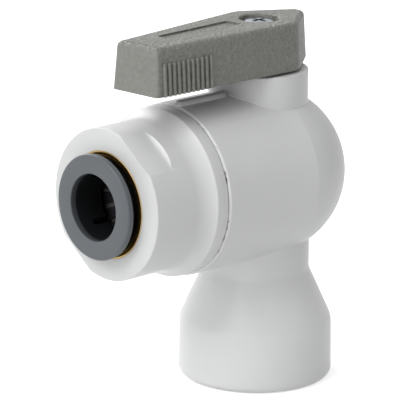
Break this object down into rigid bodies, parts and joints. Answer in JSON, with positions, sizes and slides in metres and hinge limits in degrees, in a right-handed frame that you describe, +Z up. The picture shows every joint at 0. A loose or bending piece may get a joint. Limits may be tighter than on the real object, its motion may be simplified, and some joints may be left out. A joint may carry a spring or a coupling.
{
  "type": "elbow ball valve",
  "caption": "Elbow ball valve with a push-in tube inlet on a horizontal barrel, a threaded socket below and a quarter-turn lever on top.",
  "frame": {"origin": "centre of the outlet socket's mouth, on the stem axis", "axes": "+Z up along the stem, tube inlet looking along -Y, +X to the side"},
  "size_m": [0.04, 0.0709, 0.0851],
  "materials": {
    "body_plastic": "satin moulded white plastic",
    "lever_plastic": "fine-textured grey plastic",
    "collet_plastic": "satin blue-grey plastic",
    "sleeve_brass": "turned brass",
    "spring_steel": "blued spring steel",
    "zinc_steel": "bright zinc-plated steel",
    "plated_brass": "polished plating",
    "stem_brass": "turned brass",
    "black_rubber": "smooth black rubber",
    "seat_plastic": "waxy white fluoroplastic",
    "spacer_plastic": "plain moulded plastic"
  },
  "bodies": {
    "housing": {"valve_body": "body_plastic", "inlet_cap": "body_plastic", "socket_gasket": "black_rubber", "cap_sealing_ring": "black_rubber", "metal_sleeve": "sleeve_brass", "toothed_ring": "spring_steel", "tube_spacer": "spacer_plastic", "tube_seal": "black_rubber", "front_seat": "seat_plastic", "rear_seat": "seat_plastic", "front_backing_ring": "black_rubber", "rear_backing_ring": "black_rubber"},
    "lever": {"lever_handle": "lever_plastic", "handle_screw": "zinc_steel", "screw_washer": "zinc_steel", "valve_stem": "stem_brass", "lower_stem_ring": "black_rubber", "upper_stem_ring": "black_rubber", "thrust_washer": "seat_plastic", "ball": "plated_brass"},
    "collet": {"release_collet": "collet_plastic"}
  },
  "joints": [
    {"name": "lever_turn", "type": "hinge", "parent": "housing", "child": "lever", "pos_m": [0, 0, 0.04915], "axis": [0, 0, 1], "range_deg": [-94.3, 0]},
    {"name": "collet_release", "type": "slide", "parent": "housing", "child": "collet", "axis": [0, 1, 0], "range_m": [0, 0.0018]}
  ]
}
